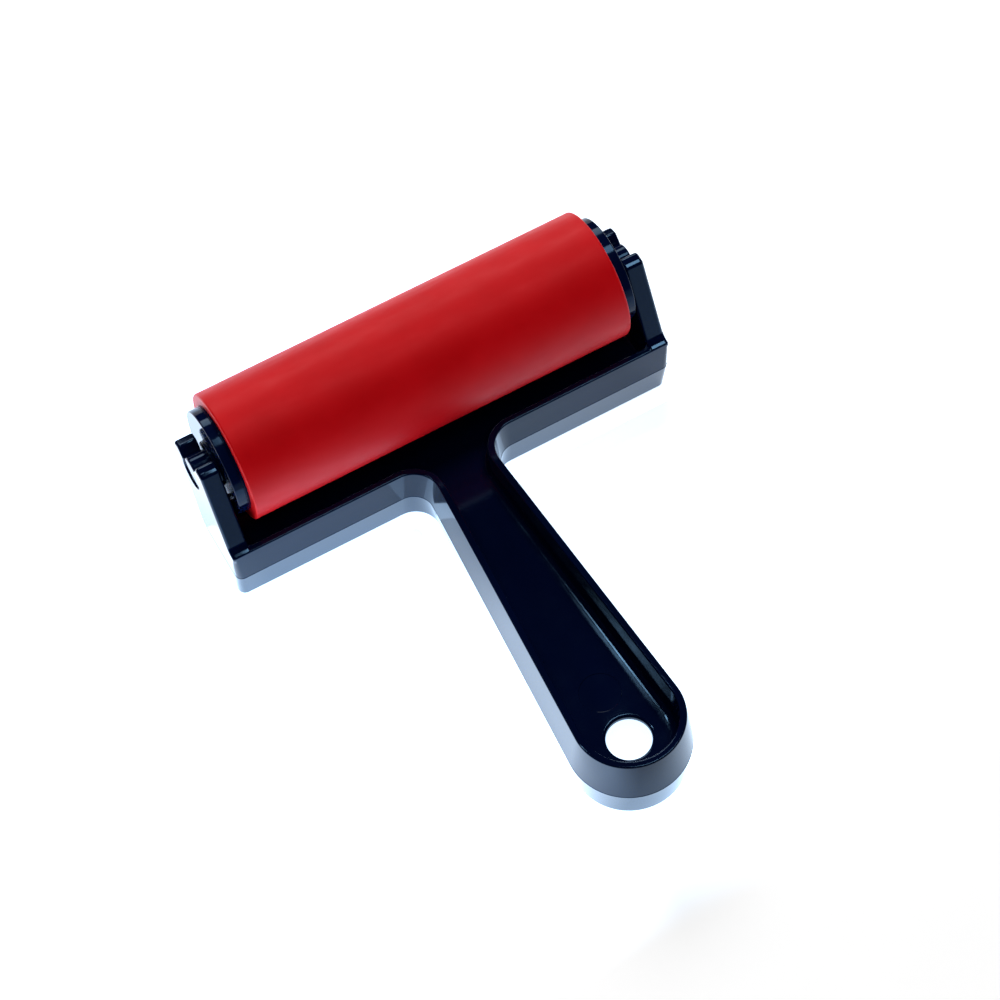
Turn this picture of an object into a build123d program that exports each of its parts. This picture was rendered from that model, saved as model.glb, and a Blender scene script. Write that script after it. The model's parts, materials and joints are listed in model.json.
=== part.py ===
from build123d import *
import os
from math import cos, radians, sin, sqrt

# A hand brayer (ink roller) lying on its back with the roller up.
# Units are millimetres. +X runs along the roller, the handle points to -Y, +Z is up.
# The model is drawn with y = 0 on the roller axis and moved at the end, so that the
# origin is the centre of the bounding box's underside.

# ---- roller -------------------------------------------------------------------
ROLLER_LENGTH = 100.0  # rubber face, the nominal width of the brayer
ROLLER_R = 16.2  # outside of the rubber
CORE_R = 13.3  # outside of the plastic core tube
CORE_WALL = 2.0
GLUE_GAP = 0.02  # radial gap between the sleeve and the core it is stretched over
PLUG_GAP = 0.02  # radial gap between an end plug's spigot and the tube
EDGE_ROUND = 0.5  # rounding of the rubber's end edges
CORE_HALF = 50.6  # the tube ends here, a little past the rubber
FLANGE_END = 53.0  # outer face of each end plug's flange
HUB_END = 53.65  # outer face of the hub boss that faces the arm
HUB_R = 5.8
STUB_R = 4.0  # stub axle
STUB_END = 58.4
SPIGOT_DEPTH = 8.0
SPIGOT_BORE_R = 8.6  # the spigot is a cup, open towards the middle of the roller
AXIS_Z = 31.5

# ---- frame --------------------------------------------------------------------
HALF_WIDTH = 58.7  # outer faces of the two arms
ARM_INNER = 53.9  # inner faces of the two arms
PARTING_Z = 9.7  # the mould's parting plane, where the outline is widest
WEB_TOP = 10.5  # the web is the floor between the upper and the lower tray
WEB_BOTTOM = 8.4
RIM_Z = 19.4  # rim of the upper tray at the crossbar
RIM_RISE = 1.75  # how much the rim climbs from the crossbar to the handle's end, in degrees
WALL = 1.75  # wall thickness at the rims
FRONT_Y = -19.0  # front face of the crossbar at the rim
REAR_Y = -1.0  # rear face of the crossbar
REAR_WALL_Z = 14.2  # the rear wall stays below the roller
HANDLE_END_Y = -100.6  # centre of the handle's round end
HANDLE_END_R = 13.3  # radius of the round end at the crossbar's rim height
HANDLE_TAPER = 4.0  # degrees each side, narrowing towards the crossbar
TEE_FILLET = 6.8  # inside corners where the handle meets the crossbar
CORNER_R = 1.6  # upright corners of the crossbar
HANDLE_DRAFT = 1.55  # the handle's outline grows by this from rim to parting plane
FRONT_DRAFT = 0.43  # the same for the crossbar's front face
LOWER_DRAFT_HANDLE = 1.07  # and shrinks by this from parting plane to base
LOWER_DRAFT_FRONT = 1.25
LOWER_DRAFT_END = 0.35  # the same for the crossbar's two end faces
INNER_DRAFT = 0.2  # each tray narrows by this from its rim to its floor
BEVEL = 0.7  # sloping foot of the tray walls
UPPER_H = RIM_Z - PARTING_Z
HANG_HOLE_R = 5.35
HANG_HOLE_Y = -100.8

# ---- arms (y and z measured from the roller axis) -------------------------------
SLOT_R = STUB_R + 0.05  # the stub axle turns freely in its cradle
NEAR_LIP = 118.0  # the cradle wraps round the stub from this angle, measured from +Y,
FAR_LIP = 14.0  # down and round to this one, so the stub snaps in
LEDGE = (-16.9, -11.75)  # the slanting face starts here, behind a small ledge
LEDGE_R = 2.4  # hollow rounding between the two
PRONG_FRONT = (-7.1, 7.8)  # the near prong's top slopes forward a little from here
PRONG_BREAK = (-5.9, 8.02)  # to here, and is level back to its rear corner
PRONG_REAR = (-3.9, 8.02)
CREST = (6.0, 3.3)  # the lead-in ramp climbs from the far lip to this crest
FAR_END = (8.4, 2.5)  # rear end of the far prong
FAR_FOOT = (8.8, 0.6)
NECK = (5.8, -3.2)  # rear of the arm behind the slot
ARM_FOOT_Z = -21.7  # the arm's rear edge and its foot, inside the crossbar, end here
BEHIND_CUT = 9.0  # how far in front of the rear face the rear wall is lowered

SKIRT = 8.0  # how far cutting bodies run past the faces they cut


def arc_mid(center, radius, angle):
    """A point on a circle, with the angle in degrees."""
    return (center[0] + radius * cos(radians(angle)), center[1] + radius * sin(radians(angle)))


def tee_outline(z, front, rear, half_x, end_r, fillet_r, corner_r):
    """The frame's plan outline at height z: a crossbar with a tapered, round-ended handle.

    front, rear and half_x place the crossbar's faces, end_r is the handle's end radius.
    """
    a = radians(HANDLE_TAPER)
    end = (0.0, HANDLE_END_Y)
    # fillet centre: fillet_r in front of the crossbar and fillet_r outside the handle's side
    fy = front - fillet_r
    fx = (fillet_r + end_r - (fy - HANDLE_END_Y) * sin(a)) / cos(a)
    foot = (fx - fillet_r * cos(a), fy - fillet_r * sin(a))
    mid = arc_mid((fx, fy), fillet_r, 135 + HANDLE_TAPER / 2)
    tangent = (end_r * cos(a), HANDLE_END_Y + end_r * sin(a))
    tip = (0.0, HANDLE_END_Y - end_r)
    c = corner_r * (1 - sqrt(0.5))

    def left(p):
        return (-p[0], p[1])

    edges = [
        Line((fx, front), (half_x - corner_r, front)),
        ThreePointArc((half_x - corner_r, front), (half_x - c, front + c), (half_x, front + corner_r)),
        Line((half_x, front + corner_r), (half_x, rear)),
        Line((half_x, rear), (-half_x, rear)),
        Line((-half_x, rear), (-half_x, front + corner_r)),
        ThreePointArc((-half_x, front + corner_r), (c - half_x, front + c), (corner_r - half_x, front)),
        Line((corner_r - half_x, front), (-fx, front)),
        ThreePointArc((-fx, front), left(mid), left(foot)),
        Line(left(foot), left(tangent)),
        ThreePointArc(left(tangent), tip, tangent),
        Line(tangent, foot),
        ThreePointArc(foot, mid, (fx, front)),
    ]
    return Pos(0, 0, z) * make_face(edges)


def between(low, high):
    """A straight-sided solid between two outlines."""
    return loft([low, high], ruled=True)


def frame_blank():
    """The solid tee, widest at the parting plane, with draft upwards and downwards."""
    top_z = RIM_Z + SKIRT
    grow = (top_z - PARTING_Z) / UPPER_H  # the outlines are drawn past the rim and cut there
    widest = tee_outline(
        PARTING_Z,
        FRONT_Y - FRONT_DRAFT,
        REAR_Y + FRONT_DRAFT,
        HALF_WIDTH,
        HANDLE_END_R + HANDLE_DRAFT,
        TEE_FILLET - HANDLE_DRAFT,
        CORNER_R,
    )
    top = tee_outline(
        top_z,
        FRONT_Y - FRONT_DRAFT * (1 - grow),
        REAR_Y + FRONT_DRAFT * (1 - grow),
        HALF_WIDTH,
        HANDLE_END_R + HANDLE_DRAFT * (1 - grow),
        TEE_FILLET - HANDLE_DRAFT * (1 - grow),
        CORNER_R,
    )
    base = tee_outline(
        0,
        FRONT_Y - FRONT_DRAFT + LOWER_DRAFT_FRONT,
        REAR_Y + FRONT_DRAFT - LOWER_DRAFT_FRONT,
        HALF_WIDTH - LOWER_DRAFT_END,
        HANDLE_END_R + HANDLE_DRAFT - LOWER_DRAFT_HANDLE,
        TEE_FILLET - HANDLE_DRAFT + LOWER_DRAFT_HANDLE,
        CORNER_R,
    )
    return between(widest, top) + between(base, widest)


def above_rim():
    """Everything above the rim plane, which climbs slightly towards the handle's end."""
    size = 300
    slab = Pos(0, 0, size / 2) * Box(size, size, size)
    return Pos(0, FRONT_Y, RIM_Z) * Rot(-RIM_RISE, 0, 0) * slab


def tray(floor_z, rim_z, end_inset, foot):
    """The hollow of one tray: drafted walls standing on a sloping foot."""
    up = 1 if rim_z > floor_z else -1
    height = abs(rim_z - floor_z)
    over = (height + SKIRT) / height  # drawn past the rim

    def level(z, inset):
        return tee_outline(
            z,
            FRONT_Y + WALL + inset,
            REAR_Y - WALL - inset,
            ARM_INNER - end_inset - inset,
            HANDLE_END_R - WALL - inset,
            TEE_FILLET + WALL + inset,
            CORNER_R,
        )

    knee = level(floor_z + up * foot, INNER_DRAFT * (1 - foot / height))
    mouth = level(floor_z + up * height * over, INNER_DRAFT * (1 - over))
    ground = level(floor_z, INNER_DRAFT + foot * 0.9)
    if up > 0:
        return between(knee, mouth) + between(ground, knee)
    return between(mouth, knee) + between(knee, ground)


def arm_profile():
    """One arm seen along X: a slanting bar with a cradle for the stub axle."""
    near_lip = arc_mid((0, 0), SLOT_R, NEAR_LIP)
    far_lip = arc_mid((0, 0), SLOT_R, FAR_LIP)
    front = (FRONT_Y, RIM_Z - AXIS_Z)
    edges = [
        Line(front, LEDGE),
        Line(LEDGE, PRONG_FRONT),
        Line(PRONG_FRONT, PRONG_BREAK),
        Line(PRONG_BREAK, PRONG_REAR),
        Line(PRONG_REAR, near_lip),
        ThreePointArc(near_lip, (0, -SLOT_R), far_lip),
        Line(far_lip, CREST),
        Line(CREST, FAR_END),
        Line(FAR_END, FAR_FOOT),
        Line(FAR_FOOT, NECK),
        Line(NECK, (REAR_Y, ARM_FOOT_Z)),
        Line((REAR_Y, ARM_FOOT_Z), (FRONT_Y + CORNER_R, ARM_FOOT_Z)),
        Line((FRONT_Y + CORNER_R, ARM_FOOT_Z), (FRONT_Y, front[1] - 4)),
        Line((FRONT_Y, front[1] - 4), front),
    ]
    return make_face(edges)


def arms():
    """Both arms, with the corners that show rounded."""
    thickness = HALF_WIDTH - ARM_INNER
    bar = extrude(Plane.YZ * arm_profile(), thickness)
    corners = {
        (FRONT_Y, RIM_Z - AXIS_Z): 0.5,
        LEDGE: LEDGE_R,
        PRONG_FRONT: 0.7,
        PRONG_BREAK: 2.0,
        PRONG_REAR: 1.1,
        CREST: 0.8,
        FAR_END: 0.6,
        FAR_FOOT: 0.6,
        NECK: 1.5,
    }
    for (y, z), radius in corners.items():
        edge = bar.edges().filter_by(Axis.X).sort_by_distance((thickness / 2, y, z))[0]
        bar = fillet(edge, radius)
    right = Pos(ARM_INNER, 0, AXIS_Z) * bar
    left = Pos(-HALF_WIDTH, 0, AXIS_Z) * bar
    return right + left


def make_frame():
    """The one-piece moulding: crossbar, handle and the two arms."""
    body = frame_blank() - above_rim()
    body -= tray(WEB_TOP, RIM_Z, 0, BEVEL)
    body -= tray(WEB_BOTTOM, 0, LOWER_DRAFT_END, BEVEL)
    behind = Box(2 * ARM_INNER, 2 * BEHIND_CUT, SKIRT * 2, align=(Align.CENTER, Align.CENTER, Align.MIN))
    body -= Pos(0, REAR_Y, REAR_WALL_Z) * behind
    body += arms()
    hole = Pos(0, HANG_HOLE_Y, PARTING_Z) * Cylinder(HANG_HOLE_R, 3 * WALL)
    body -= hole
    return body


def make_sleeve():
    """The red rubber tube around the core."""
    tube = Cylinder(ROLLER_R, ROLLER_LENGTH) - Cylinder(CORE_R + GLUE_GAP, ROLLER_LENGTH)
    ends = tube.edges().filter_by(GeomType.CIRCLE).group_by(SortBy.RADIUS)[-1]
    return fillet(ends, EDGE_ROUND)


def make_core():
    """The stiff plastic tube inside the rubber."""
    return Cylinder(CORE_R, 2 * CORE_HALF) - Cylinder(CORE_R - CORE_WALL, 2 * CORE_HALF)


def make_plug():
    """One end plug, drawn with the roller's axis along Z and its stub pointing up."""
    spigot_r = CORE_R - CORE_WALL - PLUG_GAP
    up = (Align.CENTER, Align.CENTER, Align.MIN)
    spigot = Pos(0, 0, CORE_HALF - SPIGOT_DEPTH) * Cylinder(spigot_r, SPIGOT_DEPTH, align=up)
    spigot -= Pos(0, 0, CORE_HALF - SPIGOT_DEPTH) * Cylinder(SPIGOT_BORE_R, SPIGOT_DEPTH - WALL, align=up)
    flange = Pos(0, 0, CORE_HALF) * Cylinder(CORE_R, FLANGE_END - CORE_HALF, align=up)
    hub = Pos(0, 0, FLANGE_END) * Cylinder(HUB_R, HUB_END - FLANGE_END, align=up)
    stub = Pos(0, 0, HUB_END) * Cylinder(STUB_R, STUB_END - HUB_END, align=up)
    plug = spigot + flange + hub + stub
    rounds = [(CORE_R, FLANGE_END, 0.35), (HUB_R, HUB_END, 0.3), (STUB_R, STUB_END, 0.4)]
    for radius, z, rounding in rounds:
        circles = plug.edges().filter_by(GeomType.CIRCLE)
        edge = [e for e in circles if abs(e.radius - radius) < 0.01 and abs(e.center().Z - z) < 0.01]
        plug = fillet(edge, rounding)
    return plug


def main():
    os.makedirs("parts", exist_ok=True)
    reach = -HANDLE_END_Y + HANDLE_END_R + HANDLE_DRAFT
    axis_y = (reach - ROLLER_R) / 2
    place = Pos(0, axis_y, 0)
    to_right = place * Pos(0, 0, AXIS_Z) * Rot(0, 90, 0)
    to_left = place * Pos(0, 0, AXIS_Z) * Rot(0, -90, 0)
    parts = {
        "frame": place * make_frame(),
        "rubber_sleeve": to_right * make_sleeve(),
        "core_tube": to_right * make_core(),
        "right_end_plug": to_right * make_plug(),
        "left_end_plug": to_left * make_plug(),
    }
    for name, part in parts.items():
        part.label = name
        export_step(part, f"parts/{name}.step")
        box = part.bounding_box()
        print(name, box.min, box.max, "valid", part.is_valid, "solids", len(part.solids()))
    print("roller axis y", axis_y)


main()
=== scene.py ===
import json
import math

import bmesh
import bpy
from mathutils import Matrix, Vector


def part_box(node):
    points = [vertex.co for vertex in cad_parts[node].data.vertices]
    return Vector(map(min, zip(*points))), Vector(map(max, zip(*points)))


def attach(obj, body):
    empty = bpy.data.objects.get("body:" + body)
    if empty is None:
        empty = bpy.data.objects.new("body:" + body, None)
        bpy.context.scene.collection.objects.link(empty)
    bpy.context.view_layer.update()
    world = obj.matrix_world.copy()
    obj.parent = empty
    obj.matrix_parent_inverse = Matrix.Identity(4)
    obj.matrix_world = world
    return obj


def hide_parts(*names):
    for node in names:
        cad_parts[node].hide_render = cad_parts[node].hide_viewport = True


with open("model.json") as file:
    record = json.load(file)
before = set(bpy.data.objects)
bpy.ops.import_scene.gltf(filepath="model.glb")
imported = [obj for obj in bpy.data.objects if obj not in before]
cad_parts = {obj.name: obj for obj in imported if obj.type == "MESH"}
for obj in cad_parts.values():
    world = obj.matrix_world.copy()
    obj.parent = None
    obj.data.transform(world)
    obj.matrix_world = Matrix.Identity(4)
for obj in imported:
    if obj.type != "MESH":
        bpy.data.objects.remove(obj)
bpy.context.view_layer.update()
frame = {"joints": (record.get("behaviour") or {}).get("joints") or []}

# A hand brayer: a red rubber roller snapped into a flat black moulded frame.
# Sizes are millimetres unless a comment says metres. Heights are above the table, and y is
# measured from the roller's axis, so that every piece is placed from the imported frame.
MM = 0.001
JOINT = frame["joints"][0]
AXIS_Y = JOINT["pos_m"][1] / MM
AXIS_Z = JOINT["pos_m"][2] / MM


def mm_box(node):
    """A CAD node's lowest and highest corner in millimetres, y measured from the roller's axis."""
    low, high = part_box(node)
    shift = Vector((0, AXIS_Y, 0))
    return low / MM - shift, high / MM - shift


def metres(x, y, z):
    """A point in the model's own millimetres as a point in the row frame."""
    return Vector((x * MM, (y + AXIS_Y) * MM, z * MM))


FRAME_LOW, FRAME_HIGH = mm_box("frame")
RUBBER_HIGH = mm_box("rubber_sleeve")[1]
CORE_LOW, CORE_HIGH = mm_box("core_tube")
PLUG_LOW, PLUG_HIGH = mm_box("right_end_plug")

# ---- the frame's outside -----------------------------------------------------------
PARTING_Z = 9.7  # the mould's parting plane, where the outline is widest
RIM_Z = 19.4
RIM_SLOPE = math.tan(math.radians(1.75))  # the rim climbs towards the handle's end
REAR_RIM_Z = 14.2  # the rear wall stays below the roller
FRONT_Y = -19.0
REAR_Y = -1.0
HALF_WIDTH = FRAME_HIGH.x
HANDLE_TAPER = math.radians(4.0)
PARTING_END_R = 14.85  # the handle's round end at the parting plane
END_Y = FRAME_LOW.y + PARTING_END_R
END_DRAFT_UP = 1.55  # the round end's radius shrinks by this up to the rim
END_DRAFT_DOWN = 1.07  # and by this down to the base
FACE_DRAFT = 0.43  # at the parting plane the crossbar's faces stand this far outside the rim
BASE_SETBACK = 0.82  # and at the base this far inside it
SIDE_SETBACK = 0.35  # the same at the base for the crossbar's ends
TEE_FILLET = {"rim": 6.8, "parting": 5.25, "base": 6.32, "lower tray": 5.9}
CORNER_R = {"rim": 0.9, "parting": 1.9, "base": 2.0, "tray": 1.2}
OUTER_ROUND = 0.4
BASE_ROUND = 0.42
PARTING_STEP = 0.05  # the upper mould half is a little smaller, which leaves a fine ledge
PARTING_LIP = 0.04  # inset of the lower half's upper edge
PARTING_GAP = 0.02
PARTING_BEVEL = 0.08

# ---- the frame's trays -------------------------------------------------------------
WEB_TOP = 10.5  # the web is the floor between the upper and the lower tray
WEB_BOTTOM = 8.4
WEB_FILLET = 1.8
RIM_WALL = 1.75
TRAY_DRAFT = 0.2  # each tray narrows by this from its rim to its floor
LEAST_CORNER = 0.15
INNER_ROUND = 0.42
ARM_INNER = 53.9
HOLE_R = 5.35
HOLE_Y = -100.8
HOLE_ROUND = 0.7
MARK_R = 5.0  # ejector mark
MARK_Y = -87.6
MARK_DEPTH = 0.12

# ---- arms: corners are (y, z, rounding), y and z from the roller's axis -------------
SLOT_R = 4.05
NEAR_LIP = math.radians(118)  # the cradle wraps round the stub axle from this angle
FAR_LIP = math.radians(14)  # down and round to this one
LIP_CUT = math.radians(8)  # its arc stops this far short of the rounded lips
LIP_ROUND = 0.25
LEDGE = (-16.9, -11.75, 2.4)  # the slanting face starts here, behind a small ledge
LEDGE_DROP = 1.2
LEDGE_ROUND = 0.5
PRONG_FRONT = (-7.1, 7.8, 1.0)
PRONG_BREAK = (-5.9, 8.02, 2.0)
PRONG_REAR = (-3.9, 8.02, 1.1)
CREST = (6.0, 3.3, 0.8)  # top of the far prong's lead-in ramp
FAR_END = (8.4, 2.5, 0.6)
FAR_FOOT = (8.8, 0.6, 0.6)
NECK = (5.8, -3.2, 1.5)
ARM_FOOT_Z = 9.8  # the arm's foot is sunk this low into the crossbar's end wall
FOOT_SETBACK = (1.6, 0.4)  # the sunk foot's lower and upper corner stay behind the front face
FOOT_UPPER_DROP = 2.4
ARM_EDGE_OUT = 0.8
ARM_EDGE_IN = 0.6
CRADLE_EDGE_SHARE = 0.25  # of the full edge rounding
REAR_EDGE_SHARE = 0.6
EDGE_MARGIN = 1.2

# ---- roller ------------------------------------------------------------------------
GLUE_GAP = 0.02  # between the sleeve and the core tube
RUBBER_ROUND = 0.5
RUBBER_BORE_ROUND = 0.15
RUBBER_SPANS = 6  # lengths of mesh in each half of the sleeve
CORE_WALL = 2.0
FLANGE_END = 53.0
HUB_END = 53.65
HUB_R = 5.8
STUB_R = 4.0
SPIGOT_DEPTH = 8.0
SPIGOT_BORE_R = 8.6  # the spigot is a cup, open towards the middle of the roller
SPIGOT_FLOOR = 2.0
SPIGOT_STEP = 2.02  # its radius is this much less than the flange's

# ---- fineness of the meshes --------------------------------------------------------
STEPS = {"end": 40, "side": 48, "fillet": 14, "front": 30, "corner": 6, "flank": 8, "rear": 40}
UPPER_WALL_SHARES = (0.0, 0.03, 0.35, 0.7)  # rings up the outside, as shares of the wall
LOWER_WALL_SHARES = (0.06, 0.5)
TRAY_WALL_SHARES = (0.35, 0.7)
EDGE_STEPS = 5
SMALL_EDGE_STEPS = 4
WEB_FILLET_STEPS = 7
CRADLE_STEPS = 36
CIRCLE_STEPS = 96
DEGREES_PER_STEP = 9
LATHE_STEPS = 256
PLUG_STEPS = 192
SHARP_DEGREES = 32
NORMAL_WEIGHT = 80


def lerp(a, b, t):
    return a + (b - a) * t


# ====================================================================================
# Outlines
# ====================================================================================


def line_points(a, b, steps):
    """Points from a up to but not including b."""
    return [(lerp(a[0], b[0], k / steps), lerp(a[1], b[1], k / steps)) for k in range(steps)]


def arc_points(center, radius, start, stop, steps):
    """Points on an arc from the start angle up to but not including the stop angle, in radians."""
    angles = [lerp(start, stop, k / steps) for k in range(steps)]
    return [(center[0] + radius * math.cos(a), center[1] + radius * math.sin(a)) for a in angles]


def tee_ring(front, rear, half_x, end_r, fillet_r, corner_r):
    """The tee's outline, anticlockwise from the handle's tip, with the same stations at any size."""
    a = HANDLE_TAPER
    fy = front - fillet_r
    fx = (fillet_r + end_r - (fy - END_Y) * math.sin(a)) / math.cos(a)
    side_foot = (end_r * math.cos(a), END_Y + end_r * math.sin(a))
    side_top = (fx - fillet_r * math.cos(a), fy - fillet_r * math.sin(a))
    quarter = math.pi / 2
    half = arc_points((0, END_Y), end_r, -quarter, a, STEPS["end"])
    half += line_points(side_foot, side_top, STEPS["side"])
    half += arc_points((fx, fy), fillet_r, math.pi + a, quarter, STEPS["fillet"])
    half += line_points((fx, front), (half_x - corner_r, front), STEPS["front"])
    half += arc_points((half_x - corner_r, front + corner_r), corner_r, -quarter, 0, STEPS["corner"])
    half += line_points((half_x, front + corner_r), (half_x, rear - corner_r), STEPS["flank"])
    half += arc_points((half_x - corner_r, rear - corner_r), corner_r, 0, quarter, STEPS["corner"])
    half += line_points((half_x - corner_r, rear), (0, rear), STEPS["rear"])
    half.append((0, rear))
    mirrored = [(-x, y) for x, y in half[1:-1]]
    return half + mirrored[::-1]


REAR_START = sum(STEPS[k] for k in ("end", "side", "fillet", "front", "corner", "flank", "corner"))
STATIONS = 2 * (REAR_START + STEPS["rear"])


def on_rear_wall(k):
    """Whether a station lies on the crossbar's rear wall."""
    return REAR_START <= k <= STATIONS - REAR_START


def level_outline(level, face_shift, side_setback, end_draft):
    """The outside at the rim, parting plane or base, as the arguments of tee_ring."""
    front = FRONT_Y + face_shift
    rear = REAR_Y - face_shift
    end_r = PARTING_END_R - end_draft
    return (front, rear, HALF_WIDTH - side_setback, end_r, TEE_FILLET[level], CORNER_R[level])


RIM_OUTLINE = level_outline("rim", 0, 0, END_DRAFT_UP)
PARTING_OUTLINE = level_outline("parting", -FACE_DRAFT, 0, 0)
BASE_OUTLINE = level_outline("base", BASE_SETBACK, SIDE_SETBACK, END_DRAFT_DOWN)


def outer_size(z_share, inset=0.0):
    """The outside at a height: 1 at the rim, 0 at the parting plane, -1 at the base."""
    far = BASE_OUTLINE if z_share < 0 else RIM_OUTLINE
    sizes = [lerp(p, q, abs(z_share)) for p, q in zip(PARTING_OUTLINE, far)]
    front, rear, half_x, end_r, fillet_r, corner_r = sizes
    return (front + inset, rear - inset, half_x - inset, end_r - inset, fillet_r + inset, corner_r)


def inner_size(depth_share, inset, up):
    """The outline of a tray's wall: depth_share 0 at its rim and 1 at its floor."""
    draft = TRAY_DRAFT * depth_share
    wall = RIM_WALL + draft + inset
    end_r = PARTING_END_R - (END_DRAFT_UP if up else END_DRAFT_DOWN) - wall
    half_x = ARM_INNER - draft - inset
    corner_r = max(CORNER_R["tray"] - inset, LEAST_CORNER)
    fillet_r = TEE_FILLET["rim" if up else "lower tray"] + wall
    return (FRONT_Y + wall, REAR_Y - wall, half_x, end_r, fillet_r, corner_r)


def rim_height(k, y):
    """The upper rim's height at a station."""
    if on_rear_wall(k):
        return REAR_RIM_Z
    return RIM_Z + max(FRONT_Y - y, 0) * RIM_SLOPE


def rounding(radius, steps):
    """(inset, drop) of each step over a rounded edge, from its upright face to its level one."""
    angles = [math.pi / 2 * k / steps for k in range(steps + 1)]
    return [(radius * (1 - math.cos(a)), radius * (1 - math.sin(a))) for a in angles]


# ====================================================================================
# Mesh helpers
# ====================================================================================


def object_from(bm, name):
    """A new object from a bmesh, with outward normals."""
    bmesh.ops.recalc_face_normals(bm, faces=bm.faces)
    mesh = bpy.data.meshes.new(name)
    bm.to_mesh(mesh)
    bm.free()
    obj = bpy.data.objects.new(name, mesh)
    bpy.context.scene.collection.objects.link(obj)
    return obj


def bridge(bm, ring_a, ring_b):
    """Quads between two closed rings of the same length, or a fan where one is a single point."""
    count = max(len(ring_a), len(ring_b))
    for k in range(count):
        n = (k + 1) % count
        corners = [ring_a[k % len(ring_a)], ring_a[n % len(ring_a)]]
        corners += [ring_b[n % len(ring_b)], ring_b[k % len(ring_b)]]
        bm.faces.new(list(dict.fromkeys(corners)))


def ring_edges(ring):
    """The edges round a closed ring."""
    found = []
    for k, vert in enumerate(ring):
        after = ring[(k + 1) % len(ring)]
        found.append(next(e for e in vert.link_edges if e.other_vert(vert) is after))
    return found


def circle_ring(bm, x, y, z, radius):
    """A level ring of vertices."""
    points = arc_points((x, y), radius, 0, 2 * math.pi, CIRCLE_STEPS)
    return [bm.verts.new(metres(px, py, z)) for px, py in points]


def shade(obj):
    """Smooth shading that keeps real corners, weighted so that flat faces stay flat."""
    mesh = obj.data
    mesh.shade_smooth()
    mesh.set_sharp_from_angle(angle=math.radians(SHARP_DEGREES))
    weighted = obj.modifiers.new("weighted_normals", "WEIGHTED_NORMAL")
    weighted.keep_sharp = True
    weighted.weight = NORMAL_WEIGHT


def applied(obj):
    """Replaces the object's mesh by its modified one and drops the modifiers."""
    graph = bpy.context.evaluated_depsgraph_get()
    mesh = bpy.data.meshes.new_from_object(obj.evaluated_get(graph))
    obj.modifiers.clear()
    obj.data = mesh


# ====================================================================================
# Frame
# ====================================================================================


def upper_rings():
    """(size, height function) of each ring from the parting plane over the rim and down to the web."""
    rings = []
    for share in UPPER_WALL_SHARES:
        size = outer_size(share, PARTING_STEP * (1 - share))
        rings.append((size, lambda k, y, s=share: lerp(PARTING_Z, rim_height(k, y), s)))
    for inset, drop in rounding(OUTER_ROUND, EDGE_STEPS):
        rings.append((outer_size(1.0, inset), lambda k, y, d=drop: rim_height(k, y) - d))
    for inset, drop in reversed(rounding(INNER_ROUND, EDGE_STEPS)):
        rings.append((inner_size(0.0, -inset, True), lambda k, y, d=drop: rim_height(k, y) - d))
    foot = WEB_TOP + WEB_FILLET
    for share in TRAY_WALL_SHARES:
        rings.append((inner_size(share, 0, True), lambda k, y, s=share: lerp(rim_height(k, y), foot, s)))
    for inset, drop in rounding(WEB_FILLET, WEB_FILLET_STEPS):
        rings.append((inner_size(1.0, inset, True), lambda k, y, z=WEB_TOP + drop: z))
    return rings


def lower_rings():
    """The same below the parting plane, from the parting ledge round the base and up to the web."""
    rings = []
    ledge = PARTING_Z - PARTING_GAP
    rings.append((outer_size(0.0, PARTING_LIP), lambda k, y: ledge))
    rings.append((outer_size(0.0), lambda k, y: ledge - PARTING_BEVEL))
    for share in LOWER_WALL_SHARES:
        rings.append((outer_size(-share), lambda k, y, s=share: PARTING_Z * (1 - s)))
    for inset, height in rounding(BASE_ROUND, EDGE_STEPS):
        rings.append((outer_size(-1.0, inset), lambda k, y, z=height: z))
    for inset, height in reversed(rounding(INNER_ROUND, EDGE_STEPS)):
        rings.append((inner_size(0.0, -inset, False), lambda k, y, z=height: z))
    foot = WEB_BOTTOM - WEB_FILLET
    rings.append((inner_size(0.5, 0, False), lambda k, y: foot / 2))
    for inset, drop in rounding(WEB_FILLET, WEB_FILLET_STEPS):
        rings.append((inner_size(1.0, inset, False), lambda k, y, z=WEB_BOTTOM - drop: z))
    return rings


def add_rings(bm, rings):
    """Lays the rings' vertices and the quads between them, and returns the rings."""
    laid = []
    for size, height in rings:
        points = tee_ring(*size)
        laid.append([bm.verts.new(metres(x, y, height(k, y))) for k, (x, y) in enumerate(points)])
    for a, b in zip(laid, laid[1:]):
        bridge(bm, a, b)
    return laid


def fill_between(bm, loops):
    """A flat fill between an outer loop and the loops inside it."""
    edges = [e for loop in loops for e in ring_edges(loop)]
    bmesh.ops.triangle_fill(bm, use_beauty=True, use_dissolve=False, edges=edges)


def hang_hole(bm):
    """The hole's wall with its rounded edges, and returns the top and bottom rings."""
    edge = rounding(HOLE_ROUND, SMALL_EDGE_STEPS)
    rings = []
    for sink, widening in edge:
        rings.append(circle_ring(bm, 0, HOLE_Y, WEB_TOP - sink, HOLE_R + widening))
    for sink, widening in reversed(edge):
        rings.append(circle_ring(bm, 0, HOLE_Y, WEB_BOTTOM + sink, HOLE_R + widening))
    for a, b in zip(rings, rings[1:]):
        bridge(bm, a, b)
    return rings[0], rings[-1]


def ejector_mark(bm):
    """The round dimple an ejector pin leaves on the web, and returns its rim."""
    rim = circle_ring(bm, 0, MARK_Y, WEB_TOP, MARK_R)
    edge = circle_ring(bm, 0, MARK_Y, WEB_TOP - MARK_DEPTH, MARK_R - MARK_DEPTH)
    bridge(bm, rim, edge)
    middle = circle_ring(bm, 0, MARK_Y, WEB_TOP - MARK_DEPTH, MARK_R / 2)
    bridge(bm, edge, middle)
    bm.faces.new(middle)
    return rim


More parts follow.
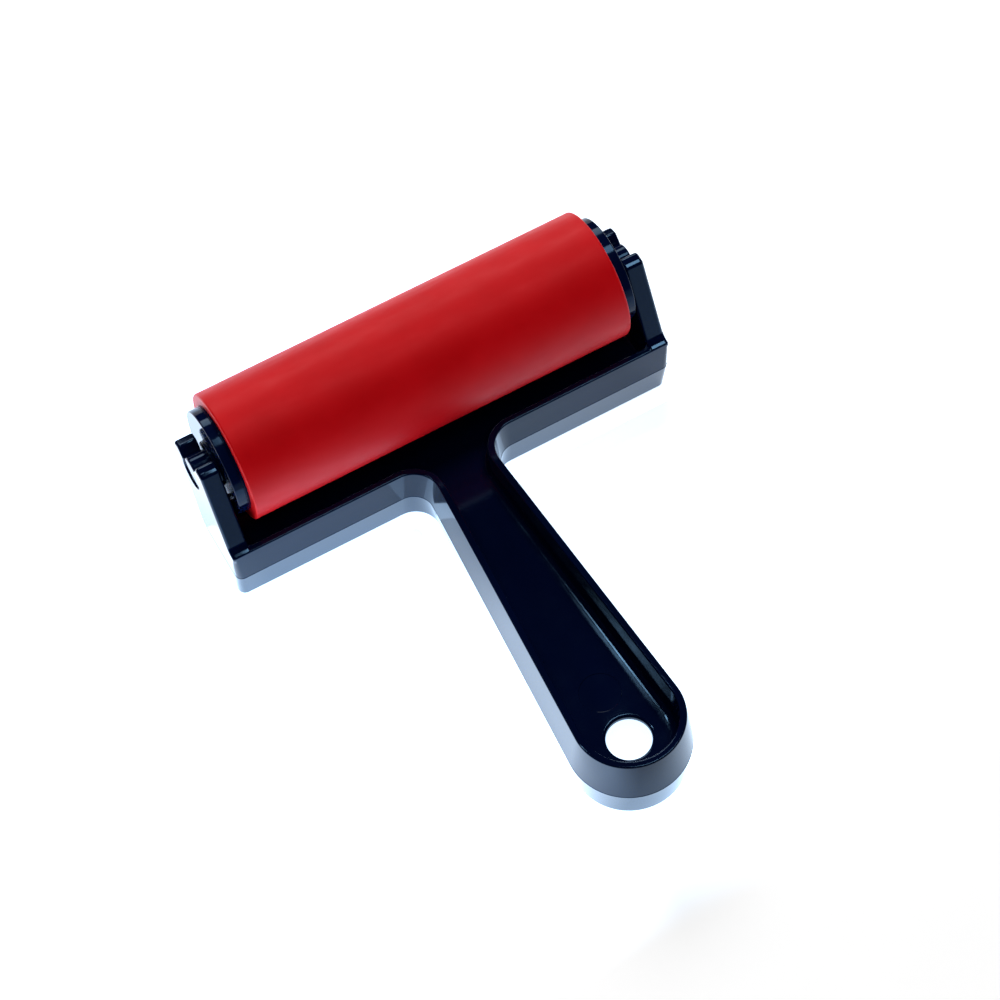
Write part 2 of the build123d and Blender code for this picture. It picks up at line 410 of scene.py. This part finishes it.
def make_tee():
    """Crossbar and handle: walls on both sides of a thin web."""
    bm = bmesh.new()
    upper = add_rings(bm, upper_rings())
    lower = add_rings(bm, lower_rings())
    bridge(bm, upper[0], lower[0])
    hole_top, hole_bottom = hang_hole(bm)
    fill_between(bm, [upper[-1], hole_top, ejector_mark(bm)])
    fill_between(bm, [lower[-1], hole_bottom])
    return object_from(bm, "frame_moulding")


def rounded_path(corners):
    """A closed outline through corners, each given as two coordinates and a rounding radius."""
    points = []
    count = len(corners)
    for k, (y, z, radius) in enumerate(corners):
        here = Vector((y, z))
        before = Vector(corners[k - 1][:2])
        after = Vector(corners[(k + 1) % count][:2])
        if radius == 0:
            points.append((y, z))
            continue
        to_before = (before - here).normalized()
        to_after = (after - here).normalized()
        half = to_before.angle(to_after) / 2
        cut = radius / math.tan(half)
        middle = here + (to_before + to_after).normalized() * (radius / math.sin(half))
        start = here + to_before * cut - middle
        stop = here + to_after * cut - middle
        turn = start.angle_signed(stop)
        steps = max(3, round(abs(math.degrees(turn)) / DEGREES_PER_STEP))
        first = math.atan2(start.y, start.x)
        for i in range(steps + 1):
            a = first - turn * i / steps
            points.append((middle.x + radius * math.cos(a), middle.y + radius * math.sin(a)))
    return points


def arm_outline():
    """One arm from the side, y and z from the roller's axis, clockwise from the crossbar's front."""
    rim = RIM_Z - AXIS_Z
    sunk = ARM_FOOT_Z - AXIS_Z
    near_lip = (SLOT_R * math.cos(NEAR_LIP), SLOT_R * math.sin(NEAR_LIP), LIP_ROUND)
    far_lip = (SLOT_R * math.cos(FAR_LIP), SLOT_R * math.sin(FAR_LIP), LIP_ROUND)
    arc = arc_points((0, 0), SLOT_R, NEAR_LIP + LIP_CUT, 2 * math.pi + FAR_LIP - LIP_CUT, CRADLE_STEPS)
    lower_setback, upper_setback = FOOT_SETBACK
    corners = [(FRONT_Y, rim - LEDGE_DROP, 0), (FRONT_Y, rim, LEDGE_ROUND), LEDGE]
    corners += [PRONG_FRONT, PRONG_BREAK, PRONG_REAR, near_lip]
    corners += [(y, z, 0) for y, z in arc]
    corners += [far_lip, CREST, FAR_END, FAR_FOOT, NECK]
    corners += [(REAR_Y, sunk, 0), (FRONT_Y + lower_setback, sunk, 0)]
    corners += [(FRONT_Y + upper_setback, rim - FOOT_UPPER_DROP, 0)]
    return rounded_path(corners)


def edge_share(y, z):
    """How much of the full edge rounding a point takes: little round the cradle and at the foot."""
    if math.hypot(y, z) < SLOT_R + EDGE_MARGIN:
        return CRADLE_EDGE_SHARE
    if y > 0 or z < RIM_Z - AXIS_Z + EDGE_MARGIN:
        return REAR_EDGE_SHARE
    return 1.0


def inset_outline(points, inset):
    """The outline moved into the material by a small inset."""
    moved = []
    count = len(points)
    for k, here in enumerate(points):
        before = Vector(points[k - 1])
        after = Vector(points[(k + 1) % count])
        here = Vector(here)
        along = ((here - before).normalized() + (after - here).normalized()).normalized()
        moved.append(here + Vector((along.y, -along.x)) * inset * edge_share(*here))
    return moved


def make_arm(side):
    """One arm: its outline drawn through the thickness with rounded edges."""
    outline = arm_outline()
    bm = bmesh.new()
    outer_edge = rounding(ARM_EDGE_OUT, EDGE_STEPS)
    inner_edge = rounding(ARM_EDGE_IN, SMALL_EDGE_STEPS)
    sections = [(HALF_WIDTH - depth, inset) for depth, inset in outer_edge]
    sections += [(ARM_INNER + depth, inset) for inset, depth in inner_edge]
    rings = []
    for x, inset in sections:
        points = inset_outline(outline, inset)
        rings.append([bm.verts.new(metres(side * x, y, z + AXIS_Z)) for y, z in points])
    for a, b in zip(rings, rings[1:]):
        bridge(bm, a, b)
    for ring in (rings[0], rings[-1]):
        cap = bm.faces.new(ring)
        cap.normal_update()
        bmesh.ops.triangulate(bm, faces=[cap])
    return object_from(bm, "arm")


def make_frame():
    """The whole moulding as one mesh."""
    tee = make_tee()
    for side in (-1, 1):
        arm = make_arm(side)
        union = tee.modifiers.new("union", "BOOLEAN")
        union.operation = "UNION"
        union.solver = "EXACT"
        union.object = arm
        applied(tee)
        bpy.data.objects.remove(arm)
    return tee


# ====================================================================================
# Roller
# ====================================================================================


def lathe(name, profile, steps=LATHE_STEPS):
    """A solid turned round the roller's axis from (x, radius) points, closed if off the axis."""
    bm = bmesh.new()
    rings = []
    for x, radius in profile:
        if radius == 0:
            rings.append([bm.verts.new(metres(x, 0, AXIS_Z))])
            continue
        points = arc_points((0, AXIS_Z), radius, 0, 2 * math.pi, steps)
        rings.append([bm.verts.new(metres(x, y, z)) for y, z in points])
    for a, b in zip(rings, rings[1:]):
        bridge(bm, a, b)
    if len(rings[0]) > 1 and len(rings[-1]) > 1:
        bridge(bm, rings[-1], rings[0])
    return object_from(bm, name)


def make_rubber():
    """The red sleeve, with softly rounded end edges."""
    half = RUBBER_HIGH.x
    outer = RUBBER_HIGH.y
    bore = (CORE_HIGH.z - CORE_LOW.z) / 2 + GLUE_GAP
    corners = [(-half, bore, RUBBER_BORE_ROUND), (-half, outer, RUBBER_ROUND)]
    corners += [(x * half / RUBBER_SPANS, outer, 0) for x in range(1 - RUBBER_SPANS, RUBBER_SPANS)]
    corners += [(half, outer, RUBBER_ROUND), (half, bore, RUBBER_BORE_ROUND)]
    return lathe("rubber_roller_face", rounded_path(corners))


def make_core():
    """The stiff tube the rubber is stretched over."""
    half = CORE_HIGH.x
    outer = (CORE_HIGH.z - CORE_LOW.z) / 2
    bore = outer - CORE_WALL
    corners = [(-half, bore, 0.1), (-half, outer, 0.12), (half, outer, 0.12), (half, bore, 0.1)]
    return lathe("roller_core", rounded_path(corners))


def make_plug(side):
    """An end plug: cup-shaped spigot, flange, hub boss and stub axle."""
    flange_r = (PLUG_HIGH.z - PLUG_LOW.z) / 2
    spigot_r = flange_r - SPIGOT_STEP
    start = CORE_HIGH.x
    end = PLUG_HIGH.x
    corners = [
        (start - SPIGOT_FLOOR, 0, 0),
        (start - SPIGOT_FLOOR, SPIGOT_BORE_R, 0.4),
        (start - SPIGOT_DEPTH, SPIGOT_BORE_R, 0.2),
        (start - SPIGOT_DEPTH, spigot_r, 0.3),
        (start, spigot_r, 0),
        (start, flange_r, 0.12),
        (FLANGE_END, flange_r, 0.35),
        (FLANGE_END, HUB_R, 0.15),
        (HUB_END, HUB_R, 0.2),
        (HUB_END, STUB_R, 0.15),
        (end, STUB_R, 0.5),
        (end, 0, 0),
    ]
    profile = [(side * x, r) for x, r in rounded_path(corners)]
    name = "right_plug" if side > 0 else "left_plug"
    return lathe(name, profile, PLUG_STEPS)


# ====================================================================================
# Materials
# ====================================================================================

PLASTIC_DARK = (0.0006, 0.0024, 0.016)
PLASTIC_LIGHT = (0.0009, 0.0035, 0.024)
PLASTIC_SHEEN = (0.3, 0.62, 1.0, 1.0)
FRAME_GLOSS = 0.28
PLUG_LIFT = 1.2  # the plugs' plastic is a little lighter than the frame's
PLUG_GLOSS = 0.13
RUBBER_DARK = (0.60, 0.002, 0.005)
RUBBER_LIGHT = (0.68, 0.003, 0.007)
RUBBER_SHEEN = (1.0, 0.3, 0.32, 1.0)
RUBBER_GLOSS = 0.27

# The table's glow: (place from left to right, colour) beside the crossbar and beside the
# handle, and one even value further off. The ranges after it are in metres.
GLOW_BY_CROSSBAR = [
    (0.08, (0.8, 0.82, 0.9)),
    (0.2, (0.31, 0.44, 0.6)),
    (0.25, (0.23, 0.34, 0.48)),
    (0.75, (0.16, 0.2, 0.25)),
]
GLOW_BY_HANDLE = [(0.38, (0.56, 0.71, 0.9)), (0.46, (0.24, 0.33, 0.44)), (0.6, (0.24, 0.33, 0.44))]
GLOW_FAR = (0.115, 0.115, 0.115, 1.0)
GLOW_ACROSS = (-0.1, 0.1)
HANDLE_TO_CROSSBAR = (-0.01, 0.02)  # the glow changes from the one list to the other here
HANDLE_TIP_FADE = (-0.095, -0.068)  # it is even in front of this stretch
FAR_FADE = (0.17, 0.24)  # and beyond this distance from the middle


class Nodes:
    """A small helper that adds shader nodes to a new material."""

    def __init__(self, name):
        self.material = bpy.data.materials.new(name)
        self.material.use_nodes = True
        self.tree = self.material.node_tree
        self.shader = self.tree.nodes["Principled BSDF"]

    def add(self, kind, **values):
        """A new node with its sockets or properties set."""
        node = self.tree.nodes.new(kind)
        for key, value in values.items():
            if key in node.inputs:
                node.inputs[key].default_value = value
            else:
                setattr(node, key, value)
        return node

    def link(self, a, b):
        self.tree.links.new(a, b)

    def feed(self, output, socket):
        """Links an output to one of the shader's sockets."""
        self.link(output, self.shader.inputs[socket])

    def set(self, **values):
        """Sets the shader's own sockets; an underscore stands for a space."""
        for key, value in values.items():
            self.shader.inputs[key.replace("_", " ")].default_value = value

    def position(self):
        return self.add("ShaderNodeTexCoord").outputs["Object"]

    def stretched(self, scale):
        """The position scaled by a different amount on each axis."""
        mapping = self.add("ShaderNodeMapping", Scale=scale)
        self.link(self.position(), mapping.inputs["Vector"])
        return mapping.outputs["Vector"]

    def noise(self, scale, detail, vector=None):
        """Soft noise; the scale is in features per metre."""
        node = self.add("ShaderNodeTexNoise", Scale=scale, Detail=detail)
        self.link(vector or self.position(), node.inputs["Vector"])
        return node.outputs["Fac"]

    def ramp(self, value, stops):
        """A colour ramp; stops are (position, colour or grey value)."""
        node = self.add("ShaderNodeValToRGB")
        elements = node.color_ramp.elements
        while len(elements) < len(stops):
            elements.new(0.5)
        for element, (place, colour) in zip(elements, stops):
            if isinstance(colour, (int, float)):
                colour = (colour, colour, colour)
            element.position = place
            element.color = (*colour, 1.0)
        self.link(value, node.inputs["Fac"])
        return node.outputs["Color"]

    def map_range(self, value, source, target, kind="SMOOTHSTEP"):
        """A value carried from one range to another."""
        node = self.add("ShaderNodeMapRange", interpolation_type=kind)
        for socket, number in zip(("From Min", "From Max", "To Min", "To Max"), (*source, *target)):
            node.inputs[socket].default_value = number
        self.link(value, node.inputs["Value"])
        return node.outputs["Result"]

    def mix(self, factor, first):
        """A colour mix with its factor and first colour linked; the second is left open."""
        node = self.add("ShaderNodeMix", data_type="RGBA")
        self.link(factor, node.inputs[0])
        self.link(first, node.inputs[6])
        return node

    def bump(self, height, distance, strength, normal=None):
        """A bump over an earlier one; the distance is in metres."""
        node = self.add("ShaderNodeBump", Distance=distance, Strength=strength)
        self.link(height, node.inputs["Height"])
        if normal:
            self.link(normal, node.inputs["Normal"])
        return node.outputs["Normal"]


def black_plastic(name, lift, gloss):
    """Moulded black plastic with a cool sheen, faint flow marks and a fine satin grain."""
    n = Nodes(name)
    flow = n.noise(60, 3, n.stretched((1.0, 0.35, 1.0)))
    dark, light = [tuple(c * lift for c in colour) for colour in (PLASTIC_DARK, PLASTIC_LIGHT)]
    n.feed(n.ramp(flow, [(0.3, dark), (0.7, light)]), "Base Color")
    smudge = n.noise(140, 4)
    n.feed(n.ramp(smudge, [(0.3, 0.06), (0.75, 0.12)]), "Roughness")
    grain = n.noise(3800, 2)
    normal = n.bump(grain, 0.00001, 0.2)
    waves = n.noise(90, 2)
    n.feed(n.bump(waves, 0.0002, 0.08, normal), "Normal")
    n.set(IOR=1.52, Specular_IOR_Level=gloss, Specular_Tint=PLASTIC_SHEEN)
    return n.material


def red_rubber():
    """Ground rubber: satin red, faintly clouded, with fine circumferential grinding marks."""
    n = Nodes("red_rubber")
    cloud = n.noise(70, 4)
    n.feed(n.ramp(cloud, [(0.3, RUBBER_DARK), (0.7, RUBBER_LIGHT)]), "Base Color")
    smudge = n.noise(160, 3, n.stretched((1.0, 3.0, 3.0)))
    n.feed(n.ramp(smudge, [(0.3, 0.44), (0.7, 0.54)]), "Roughness")
    rings = n.noise(500, 3, n.stretched((8.0, 0.3, 0.3)))
    grain = n.noise(5200, 3)
    normal = n.bump(rings, 0.00003, 0.25)
    n.feed(n.bump(grain, 0.00003, 0.35, normal), "Normal")
    n.set(IOR=1.5, Specular_IOR_Level=RUBBER_GLOSS, Specular_Tint=RUBBER_SHEEN)
    return n.material


def floor_material(name, glow):
    """A pale light table: a cool glow round the object, and an even one further off."""
    n = Nodes(name)
    paper = n.noise(30, 4)
    n.feed(n.ramp(paper, [(0.3, 0.86), (0.7, 0.88)]), "Base Color")
    split = n.add("ShaderNodeSeparateXYZ")
    n.link(n.position(), split.inputs[0])
    across = n.map_range(split.outputs["X"], GLOW_ACROSS, (0.0, 1.0), "LINEAR")
    depth = n.map_range(split.outputs["Y"], HANDLE_TO_CROSSBAR, (0.0, 1.0))
    near = n.mix(depth, n.ramp(across, GLOW_BY_HANDLE))
    n.link(n.ramp(across, GLOW_BY_CROSSBAR), near.inputs[7])
    distance = n.add("ShaderNodeVectorMath", operation="LENGTH")
    n.link(n.position(), distance.inputs[0])
    away = n.add("ShaderNodeMath", operation="MAXIMUM")
    n.link(n.map_range(split.outputs["Y"], HANDLE_TIP_FADE, (1.0, 0.0)), away.inputs[0])
    n.link(n.map_range(distance.outputs["Value"], FAR_FADE, (0.0, 1.0)), away.inputs[1])
    whole = n.mix(away.outputs["Value"], near.outputs[2])
    whole.inputs[7].default_value = GLOW_FAR
    n.feed(whole.outputs[2], "Emission Color")
    n.set(Roughness=0.9, Emission_Strength=glow)
    return n.material


# ====================================================================================
# Stage
# ====================================================================================

GLOW = 3.9
FOOT_GLOW = 6.4  # right round the foot, where the lower walls mirror it
FOOT_GLOW_WIDTH = 4.5
FOOT_GLOW_LIFT = 0.01  # just clear of the floor
FLOOR_HALF = 6.0  # metres
SKY = (0.92, 0.96, 1.0, 1.0)

CAMERA_AZIMUTH = math.radians(25.13)  # the camera stands left of the handle's line
CAMERA_ELEVATION = math.radians(60.58)
CAMERA_ROLL = 0.08  # radians
CAMERA_DISTANCE = 805.5
CAMERA_AIM = (2.64, -36.38, 19.7)
CAMERA_LENS = 123.97
SENSOR = 36.0


def make_floor():
    """The glowing table."""
    bm = bmesh.new()
    bmesh.ops.create_grid(bm, x_segments=8, y_segments=8, size=FLOOR_HALF)
    floor = object_from(bm, "floor")
    if floor.data.polygons[0].normal.z < 0:
        floor.data.flip_normals()
    floor.data.materials.append(floor_material("floor", GLOW))


def make_foot_glow():
    """A brighter ring of the table right round the frame's foot."""
    bm = bmesh.new()
    rings = []
    for grow in (0.0, FOOT_GLOW_WIDTH):
        points = tee_ring(*outer_size(-1.0, -grow))
        rings.append([bm.verts.new(metres(x, y, 0.0)) for x, y in points])
    bridge(bm, *rings)
    foot = object_from(bm, "foot_glow")
    foot.location.z = FOOT_GLOW_LIFT * MM
    foot.data.materials.append(floor_material("foot_glow", FOOT_GLOW))


def area_light(name, place, target, size, power, mirrored=False):
    """A rectangular softbox, in metres and watts; only the mirrored ones show in reflections."""
    light = bpy.data.lights.new(name, "AREA")
    light.shape = "RECTANGLE"
    light.size, light.size_y = size
    light.energy = power
    obj = bpy.data.objects.new(name, light)
    bpy.context.scene.collection.objects.link(obj)
    obj.location = place
    obj.rotation_euler = (Vector(target) - Vector(place)).to_track_quat("-Z", "Y").to_euler()
    obj.visible_glossy = mirrored


def make_lights():
    """Two level softboxes, one from behind, and a fill that only brightens."""
    middle = (0.0, 0.0, 0.02)
    down = Vector((0, 0, -1))
    top = metres(280, 100, 1200)
    strip = metres(-230, 400, 1210)
    area_light("top", top, top + down, size=(0.32, 0.3), power=4.6, mirrored=True)
    area_light("back", (0.3, 1.1, 0.75), middle, size=(0.8, 0.4), power=8, mirrored=True)
    area_light("fill", (-0.2, -0.4, 1.3), middle, size=(0.6, 0.6), power=2)
    area_light("strip", strip, strip + down, size=(0.5, 0.05), power=2.0, mirrored=True)


def make_sky():
    """A pale background that only the camera sees, so that it neither lights nor reflects."""
    world = bpy.data.worlds.new("studio")
    bpy.context.scene.world = world
    world.use_nodes = True
    background = world.node_tree.nodes["Background"]
    background.inputs["Color"].default_value = SKY
    background.inputs["Strength"].default_value = 1.0
    world.cycles_visibility.glossy = False
    world.cycles_visibility.diffuse = False


def make_camera():
    """The camera on its sphere round the aim point, turned by its roll."""
    azimuth, elevation = CAMERA_AZIMUTH, CAMERA_ELEVATION
    level = math.cos(elevation)
    back = Vector((-math.sin(azimuth) * level, -math.cos(azimuth) * level, math.sin(elevation)))
    right = Vector((0, 0, 1)).cross(back).normalized()
    up = back.cross(right)
    turn = Matrix((right, up, back)).transposed().to_4x4() @ Matrix.Rotation(-CAMERA_ROLL, 4, "Z")
    place = metres(*CAMERA_AIM) + back * CAMERA_DISTANCE * MM
    data = bpy.data.cameras.new("camera")
    data.lens = CAMERA_LENS
    data.sensor_width = SENSOR
    camera = bpy.data.objects.new("camera", data)
    bpy.context.scene.collection.objects.link(camera)
    camera.matrix_world = Matrix.Translation(place) @ turn
    bpy.context.scene.camera = camera


def dress(obj, body, node, material):
    """Finishes a piece: material, shading, and what it stands for."""
    obj.data.materials.clear()
    obj.data.materials.append(material)
    shade(obj)
    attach(obj, body)
    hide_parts(node)


def main():
    frame_plastic = black_plastic("black_plastic", 1.0, FRAME_GLOSS)
    plug_plastic = black_plastic("plug_plastic", PLUG_LIFT, PLUG_GLOSS)
    dress(make_frame(), "frame", "frame", frame_plastic)
    dress(make_rubber(), "roller", "rubber_sleeve", red_rubber())
    dress(make_core(), "roller", "core_tube", plug_plastic)
    dress(make_plug(-1), "roller", "left_end_plug", plug_plastic)
    dress(make_plug(1), "roller", "right_end_plug", plug_plastic)
    make_floor()
    make_foot_glow()
    make_lights()
    make_sky()
    make_camera()
    bpy.context.scene.view_settings.view_transform = "Standard"


main()
